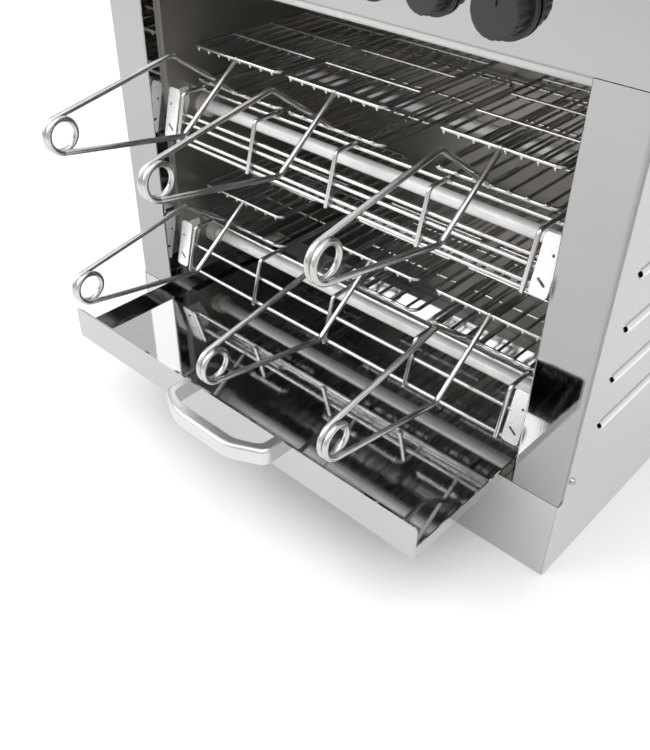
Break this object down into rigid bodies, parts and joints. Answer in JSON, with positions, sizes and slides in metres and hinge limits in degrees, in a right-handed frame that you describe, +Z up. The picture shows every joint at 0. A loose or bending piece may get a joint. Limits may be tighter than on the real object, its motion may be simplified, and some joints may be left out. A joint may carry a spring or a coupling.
{
  "type": "quartz toaster grill",
  "caption": "Two-level quartz toaster grill with wire racks, spring wire tongs and a pull-out crumb tray in a folded stainless cabinet.",
  "frame": {"origin": "middle of the cabinet's underside, on the bottom plate's lower face, level with the counter", "axes": "+X to the right seen from the front, along the cabinet's width; +Y towards the back; +Z up"},
  "size_m": [0.445, 0.3977, 0.395],
  "materials": {
    "body_sheet": "satin brushed stainless sheet",
    "bottom_sheet": "plain stainless sheet",
    "cavity_lining": "bright annealed stainless, heat darkened",
    "quartz": "frosted quartz",
    "heating_wire": "wound resistance wire",
    "ceramic_cap": "glazed steatite",
    "end_plate": "bright polished stainless",
    "rack_wire": "bright plated wire",
    "switch_plastic": "moulded phenolic",
    "lamp_lens": "translucent lens",
    "gland_plastic": "moulded nylon",
    "foot_rubber": "moulded rubber",
    "screw_steel": "plated screw",
    "tray_sheet": "bright annealed stainless sheet",
    "handle_steel": "polished stainless strap",
    "knob_plastic": "moulded phenolic",
    "tong_wire": "bright plated spring wire"
  },
  "bodies": {
    "cabinet": {"base_plinth": "body_sheet", "bottom_plate": "bottom_sheet", "cable_gland": "gland_plastic", "casing_screws": "screw_steel", "ceiling_reflector": "cavity_lining", "control_fascia": "body_sheet", "guard_end_plates_lower": "end_plate", "guard_end_plates_upper": "end_plate", "heater_coils": "heating_wire", "left_cavity_wall": "cavity_lining", "left_front_pillar": "body_sheet", "left_side_panel": "body_sheet", "lower_rack": "rack_wire", "pilot_lamps": "lamp_lens", "quartz_tubes_lower": "quartz", "quartz_tubes_middle": "quartz", "quartz_tubes_upper": "quartz", "rear_panel": "body_sheet", "rear_reflector": "cavity_lining", "right_cavity_wall": "cavity_lining", "right_front_pillar": "body_sheet", "right_side_panel": "body_sheet", "rubber_feet": "foot_rubber", "selector_switches": "switch_plastic", "terminal_block": "switch_plastic", "timer_body": "switch_plastic", "top_cover": "body_sheet", "tray_guides": "cavity_lining", "tube_end_caps": "ceramic_cap", "upper_rack": "rack_wire"},
    "crumb_tray": {"crumb_tray": "tray_sheet", "tray_handle": "handle_steel"},
    "timer_knob": {"timer_knob": "knob_plastic"},
    "upper_heat_knob": {"upper_heat_knob": "knob_plastic"},
    "lower_heat_knob": {"lower_heat_knob": "knob_plastic"},
    "lower_left_tong": {"lower_left_tong_bottom_grid": "tong_wire", "lower_left_tong_spring": "tong_wire"},
    "lower_left_tong_jaw": {"lower_left_tong_top_grid": "tong_wire"},
    "lower_middle_tong": {"lower_middle_tong_bottom_grid": "tong_wire", "lower_middle_tong_spring": "tong_wire"},
    "lower_middle_tong_jaw": {"lower_middle_tong_top_grid": "tong_wire"},
    "lower_right_tong": {"lower_right_tong_bottom_grid": "tong_wire", "lower_right_tong_spring": "tong_wire"},
    "lower_right_tong_jaw": {"lower_right_tong_top_grid": "tong_wire"},
    "upper_left_tong": {"upper_left_tong_bottom_grid": "tong_wire", "upper_left_tong_spring": "tong_wire"},
    "upper_left_tong_jaw": {"upper_left_tong_top_grid": "tong_wire"},
    "upper_middle_tong": {"upper_middle_tong_bottom_grid": "tong_wire", "upper_middle_tong_spring": "tong_wire"},
    "upper_middle_tong_jaw": {"upper_middle_tong_top_grid": "tong_wire"},
    "upper_right_tong": {"upper_right_tong_bottom_grid": "tong_wire", "upper_right_tong_spring": "tong_wire"},
    "upper_right_tong_jaw": {"upper_right_tong_top_grid": "tong_wire"}
  },
  "joints": [
    {"name": "tray_slide", "type": "slide", "parent": "cabinet", "child": "crumb_tray", "axis": [0, -1, 0], "range_m": [-0.1004, 0.085]},
    {"name": "timer_knob_turn", "type": "hinge", "parent": "cabinet", "child": "timer_knob", "pos_m": [0.132, -0.13, 0.37], "axis": [0, 1, 0], "range_deg": [0, 300]},
    {"name": "upper_heat_knob_turn", "type": "hinge", "parent": "cabinet", "child": "upper_heat_knob", "pos_m": [0.042, -0.13, 0.37], "axis": [0, 1, 0], "range_deg": [0, 270]},
    {"name": "lower_heat_knob_turn", "type": "hinge", "parent": "cabinet", "child": "lower_heat_knob", "pos_m": [0.086, -0.13, 0.37], "axis": [0, 1, 0], "range_deg": [0, 270]},
    {"name": "lower_left_tong_slide", "type": "slide", "parent": "cabinet", "child": "lower_left_tong", "axis": [0, -1, 0], "range_m": [-0.006, 0.15]},
    {"name": "lower_left_tong_squeeze", "type": "hinge", "parent": "lower_left_tong", "child": "lower_left_tong_jaw", "pos_m": [-0.123, -0.246, 0.145], "axis": [1, 0, 0], "range_deg": [0, 7], "stiffness_Nm_per_rad": 2, "springref_deg": -8.59},
    {"name": "lower_middle_tong_slide", "type": "slide", "parent": "cabinet", "child": "lower_middle_tong", "axis": [0, -1, 0], "range_m": [-0.006, 0.15]},
    {"name": "lower_middle_tong_squeeze", "type": "hinge", "parent": "lower_middle_tong", "child": "lower_middle_tong_jaw", "pos_m": [0.016, -0.246, 0.145], "axis": [1, 0, 0], "range_deg": [0, 7], "stiffness_Nm_per_rad": 2, "springref_deg": -8.59},
    {"name": "lower_right_tong_slide", "type": "slide", "parent": "cabinet", "child": "lower_right_tong", "axis": [0, -1, 0], "range_m": [-0.006, 0.15]},
    {"name": "lower_right_tong_squeeze", "type": "hinge", "parent": "lower_right_tong", "child": "lower_right_tong_jaw", "pos_m": [0.123, -0.246, 0.145], "axis": [1, 0, 0], "range_deg": [0, 7], "stiffness_Nm_per_rad": 2, "springref_deg": -8.59},
    {"name": "upper_left_tong_slide", "type": "slide", "parent": "cabinet", "child": "upper_left_tong", "axis": [0, -1, 0], "range_m": [-0.006, 0.15]},
    {"name": "upper_left_tong_squeeze", "type": "hinge", "parent": "upper_left_tong", "child": "upper_left_tong_jaw", "pos_m": [-0.123, -0.246, 0.262], "axis": [1, 0, 0], "range_deg": [0, 7], "stiffness_Nm_per_rad": 2, "springref_deg": -8.59},
    {"name": "upper_middle_tong_slide", "type": "slide", "parent": "cabinet", "child": "upper_middle_tong", "axis": [0, -1, 0], "range_m": [-0.006, 0.15]},
    {"name": "upper_middle_tong_squeeze", "type": "hinge", "parent": "upper_middle_tong", "child": "upper_middle_tong_jaw", "pos_m": [-0.023, -0.246, 0.262], "axis": [1, 0, 0], "range_deg": [0, 7], "stiffness_Nm_per_rad": 2, "springref_deg": -8.59},
    {"name": "upper_right_tong_slide", "type": "slide", "parent": "cabinet", "child": "upper_right_tong", "axis": [0, -1, 0], "range_m": [-0.006, 0.15]},
    {"name": "upper_right_tong_squeeze", "type": "hinge", "parent": "upper_right_tong", "child": "upper_right_tong_jaw", "pos_m": [0.113, -0.246, 0.262], "axis": [1, 0, 0], "range_deg": [0, 7], "stiffness_Nm_per_rad": 2, "springref_deg": -8.59}
  ]
}
